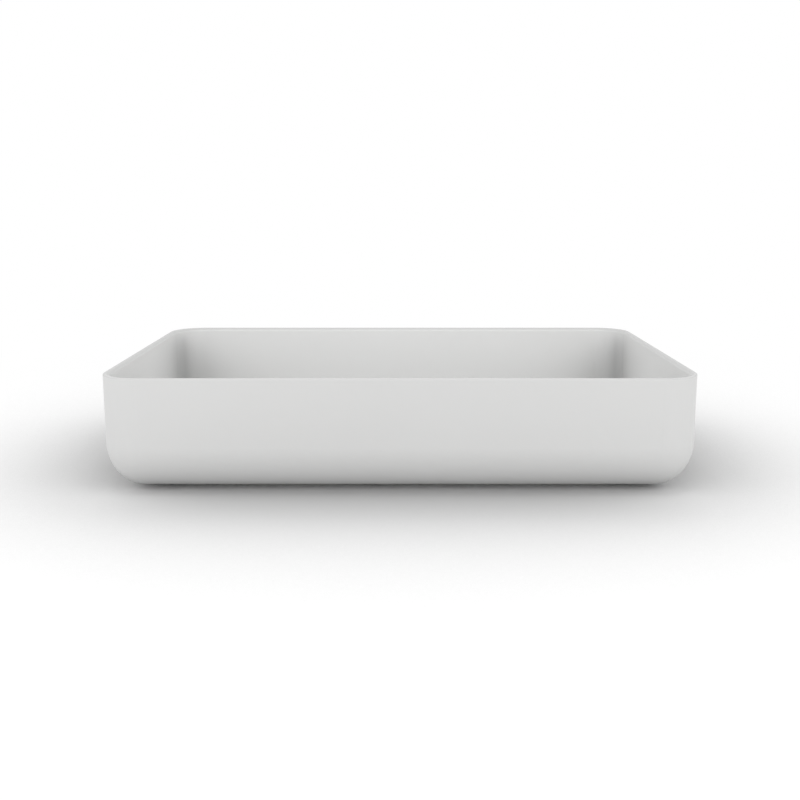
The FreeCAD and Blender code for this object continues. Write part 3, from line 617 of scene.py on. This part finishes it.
def coverGrid():
    # The dome is an arc that is level at the axis, and the rounding of its edge touches dome and side.
    # A row holds radius and height, from the middle of the pocket out, round the edge and up to the top.
    c, f = cover, cover["rounding"]
    low, high = (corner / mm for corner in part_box("plug_cover"))
    reach, foot = high[0], low[2]
    arc = (reach ** 2 + c["crown"] ** 2) / (2 * c["crown"])
    middle = c["edge"] + c["crown"] - arc
    lean = math.asin((reach - f) / (arc - f))
    brow = middle + (arc - f) * math.cos(lean)
    under = quarter(8)
    over = np.linspace(0, math.pi / 2 - lean, 8, endpoint=False)
    dome = np.linspace(lean, math.asin(c["pole"] / arc), 28)
    section = [
        run(np.array([c["pole"], c["pocketDepth"]]), np.array([c["pocket"], c["pocketDepth"]]), 6),
        run(np.array([c["pocket"], c["pocketDepth"]]), np.array([c["pocket"], 0]), 2),
        run(np.array([c["pocket"], 0]), np.array([reach - f, 0]), 4),
        np.stack([reach - f + f * np.sin(under), f - f * np.cos(under)], -1),
        run(np.array([reach, f]), np.array([reach, brow]), 2),
        np.stack([reach - f + f * np.cos(over), brow + f * np.sin(over)], -1),
        np.stack([arc * np.sin(dome), middle + arc * np.cos(dome)], -1),
    ]
    rim, level = np.concatenate(section).T
    return turnedGrid(rim, level + foot, c["around"])


coverPiece = makePiece("domedCover", [(coverGrid(), False)], "white_ceramic", cover["sharp"])
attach(coverPiece, "plug")
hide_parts("plug_cover")


# Return spring: a round wire carried along a helix whose end turns lie close
coil = {"mean": 3.7, "wire": 0.4, "turns": 6.5, "foot": -24.9, "head": -10.45, "closed": 0.8, "ease": 0.4,
        "slow": 0.32, "keep": 0.45, "sharp": 50}


def coilGrid():
    # Height grows with the turn, slowly over the closed turns at both ends and evenly between
    c = coil
    turn = np.linspace(0, c["turns"], 320)
    opening = np.clip((turn - c["closed"]) / c["ease"], 0, 1)
    closing = np.clip((c["turns"] - c["closed"] - turn) / c["ease"], 0, 1)
    pace = c["slow"] + opening * closing
    climb = np.cumsum(pace) - pace[0]
    level = c["foot"] + c["wire"] + climb / climb[-1] * (c["head"] - c["foot"] - 2 * c["wire"])
    angle = 2 * math.pi * turn[:, None]
    around = np.linspace(0, 2 * math.pi, 14, endpoint=False)[None, :]
    reach = c["mean"] + c["wire"] * np.cos(around)
    height = level[:, None] + c["wire"] * np.sin(around)
    return np.stack([reach * np.cos(angle), reach * np.sin(angle), height], -1)


springPiece = makePiece("coilSpring", [(coilGrid(), False)], "spring_steel", coil["sharp"])
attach(springPiece, "basin")
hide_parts("return_spring")
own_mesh(springPiece)


# Studio: pale floor with a hole for the waste, white surroundings and three soft lamps, in metres
studio = {"floorTone": 0.91, "hole": 0.0325, "reach": 14.0, "fadeFrom": 0.55, "fadeTo": 1.05,
          "shadowReach": 0.55, "shadowDepth": 1.85, "cornerX": 0.273, "cornerY": 0.172,
          "cornerReach": 0.043, "cornerLift": 0.78, "sky": 0.97, "aim": (0, 0, 0.06),
          "lamps": {"top": ((0.0, -0.3, 2.0), 1.0, 6.6), "left": ((-1.35, -1.25, 0.95), 1.4, 2.1),
                    "right": ((1.35, -1.25, 0.95), 1.4, 2.1)}}
white = tint((1, 1, 1))


def seenRays(start):  # 1 for what the camera, a reflection or glass shows
    path = start.node("LightPath", output="Is Camera Ray")
    glossy = start.node("LightPath", output="Is Glossy Ray")
    through = start.node("LightPath", output="Is Transmission Ray")
    return path.sum("MAXIMUM", path.sum("MAXIMUM", path, glossy), through)


def floorShader(start):
    # A painted shadow darkens the floor's colour near the basin, on top of its real shadow, most where half
    # of its sky is covered. For seen rays the painted shadow is lifted round the basin's four corners, less
    # with distance, and far out the floor turns plain white.
    place = start.node("TexCoord", output="Object")
    seen = seenRays(start)
    near = start.node("AmbientOcclusion", {"samples": 16}, {"Distance": studio["shadowReach"]}, output="AO")
    aside = place.sum("ABSOLUTE", place.axis("X")) - studio["cornerX"]
    ahead = place.sum("ABSOLUTE", place.axis("Y")) - studio["cornerY"]
    away = span(aside, ahead) / studio["cornerReach"]
    lift = place.sum("EXPONENT", 0 - away) * studio["cornerLift"] * seen
    shade = 1 - studio["shadowDepth"] * near * (1 - near) * (1 - lift)
    lit = start.node("BsdfDiffuse", inputs={"Color": shade.times(tint((studio["floorTone"],) * 3))})
    plain = start.node("Emission", inputs={"Color": white, "Strength": 1.0})
    far = radius(place).ramp(studio["fadeFrom"], studio["fadeTo"]) * seen
    return start.node("MixShader", inputs={0: far, 1: lit, 2: plain})


def makeFloor():
    # A flat ring: distance grows by an even factor from row to row
    reach = np.geomspace(studio["hole"], studio["reach"], 48)[:, None]
    angle = np.linspace(0, 2 * math.pi, 96, endpoint=False)[None, :]
    points = np.stack([reach * np.cos(angle), reach * np.sin(angle), 0 * reach * angle], -1)
    rows, columns = points.shape[:2]
    r, c = np.meshgrid(np.arange(rows - 1), np.arange(columns), indexing="ij")
    quads = np.stack([r * columns + c, (r + 1) * columns + c, (r + 1) * columns + (c + 1) % columns,
                      r * columns + (c + 1) % columns], -1).reshape(-1, 4)
    mesh = bpy.data.meshes.new("studioFloor")
    mesh.from_pydata(points.reshape(-1, 3).tolist(), [], quads.tolist())
    material = bpy.data.materials.new("paleFloor")
    material.use_nodes = True
    material.node_tree.nodes.clear()
    start = Wire(material.node_tree)
    start.node("OutputMaterial", inputs={"Surface": floorShader(start)})
    mesh.materials.append(material)
    floor = bpy.data.objects.new("studioFloor", mesh)
    bpy.context.scene.collection.objects.link(floor)


def makeSky():
    world = bpy.data.worlds.new("whiteStudio")
    bpy.context.scene.world = world
    world.use_nodes = True
    world.node_tree.nodes.clear()
    start = Wire(world.node_tree)
    light = start.node("Background", inputs={"Color": white, "Strength": studio["sky"]})
    plain = start.node("Background", inputs={"Color": white, "Strength": 1.0})
    mixed = start.node("MixShader", inputs={0: seenRays(start), 1: light, 2: plain})
    start.node("OutputWorld", inputs={"Surface": mixed})


def makeLamp(name, place, size, power):  # a disc that faces the basin
    lamp = bpy.data.lights.new(name, "AREA")
    lamp.shape, lamp.size, lamp.energy = "DISK", size, power
    held = bpy.data.objects.new(name, lamp)
    held.location = place
    aim = Vector(studio["aim"]) - held.location
    held.rotation_euler = aim.to_track_quat("-Z", "Y").to_euler()
    bpy.context.scene.collection.objects.link(held)


makeFloor()
makeSky()
for name, (place, size, power) in studio["lamps"].items():
    makeLamp(name + "Lamp", place, size, power)

# Camera: fitted to the outline in the photograph
view = {"lens": 47.882, "sensor": 36.0, "farClip": 60.0, "place": (0.0, -1.22375, 0.2986), "tilt": 0.19276}
lens = bpy.data.cameras.new("photoLens")
lens.lens, lens.sensor_width, lens.clip_end = view["lens"], view["sensor"], view["farClip"]
camera = bpy.data.objects.new("photoCamera", lens)
camera.location = view["place"]
camera.rotation_euler = (math.pi / 2 - view["tilt"], 0, 0)
bpy.context.scene.collection.objects.link(camera)
bpy.context.scene.camera = camera
bpy.context.scene.view_settings.view_transform = "Standard"
print("studio and camera set")
